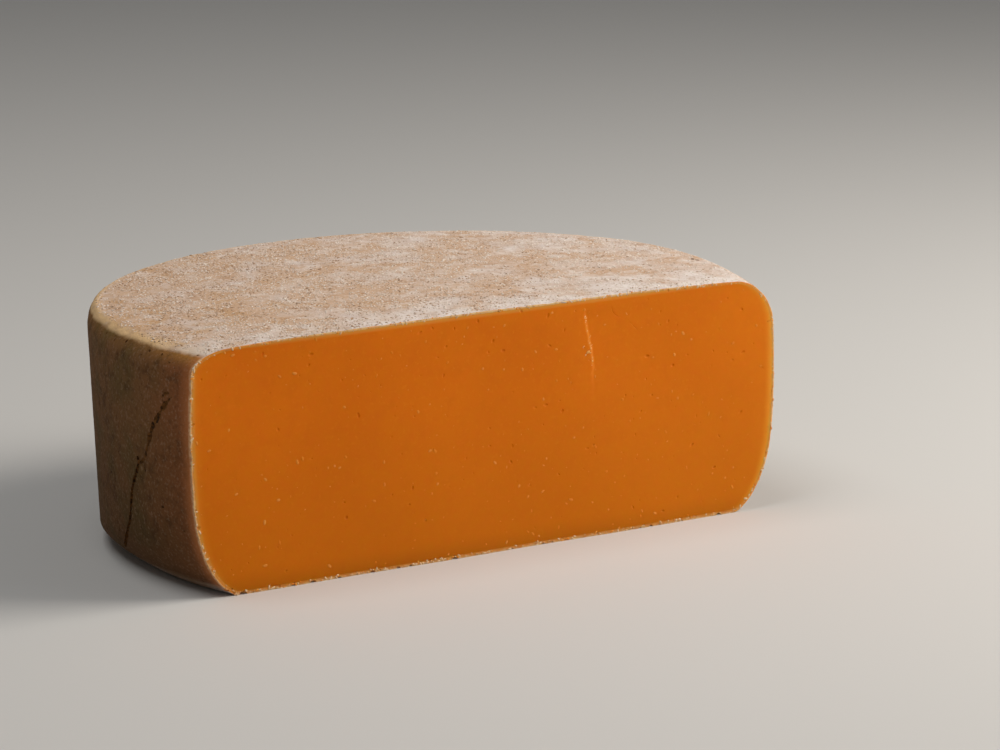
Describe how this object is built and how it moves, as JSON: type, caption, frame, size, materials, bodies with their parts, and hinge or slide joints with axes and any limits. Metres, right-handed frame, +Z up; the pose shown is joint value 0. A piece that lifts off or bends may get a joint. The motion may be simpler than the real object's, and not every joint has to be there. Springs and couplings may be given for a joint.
{
  "type": "cut wheel of double gloucester cheese",
  "caption": "Pressed hard cheese wheel with its front cut away along one straight upright cut, resting flat, with soft rims, a natural rind and a cracked side.",
  "frame": {"origin": "middle of the bottom of the cheese's box, on the surface it rests on", "axes": "+X along the cut, its longest side; +Z up, its shortest; the cut face looks along -Y"},
  "size_m": [0.3204, 0.209, 0.1129],
  "materials": {
    "cheese": "waxy smooth orange paste at the cut, dry mottled tan and brown natural rind elsewhere"
  },
  "bodies": {
    "root": {"cut_cheese_wheel": "cheese"}
  },
  "joints": []
}
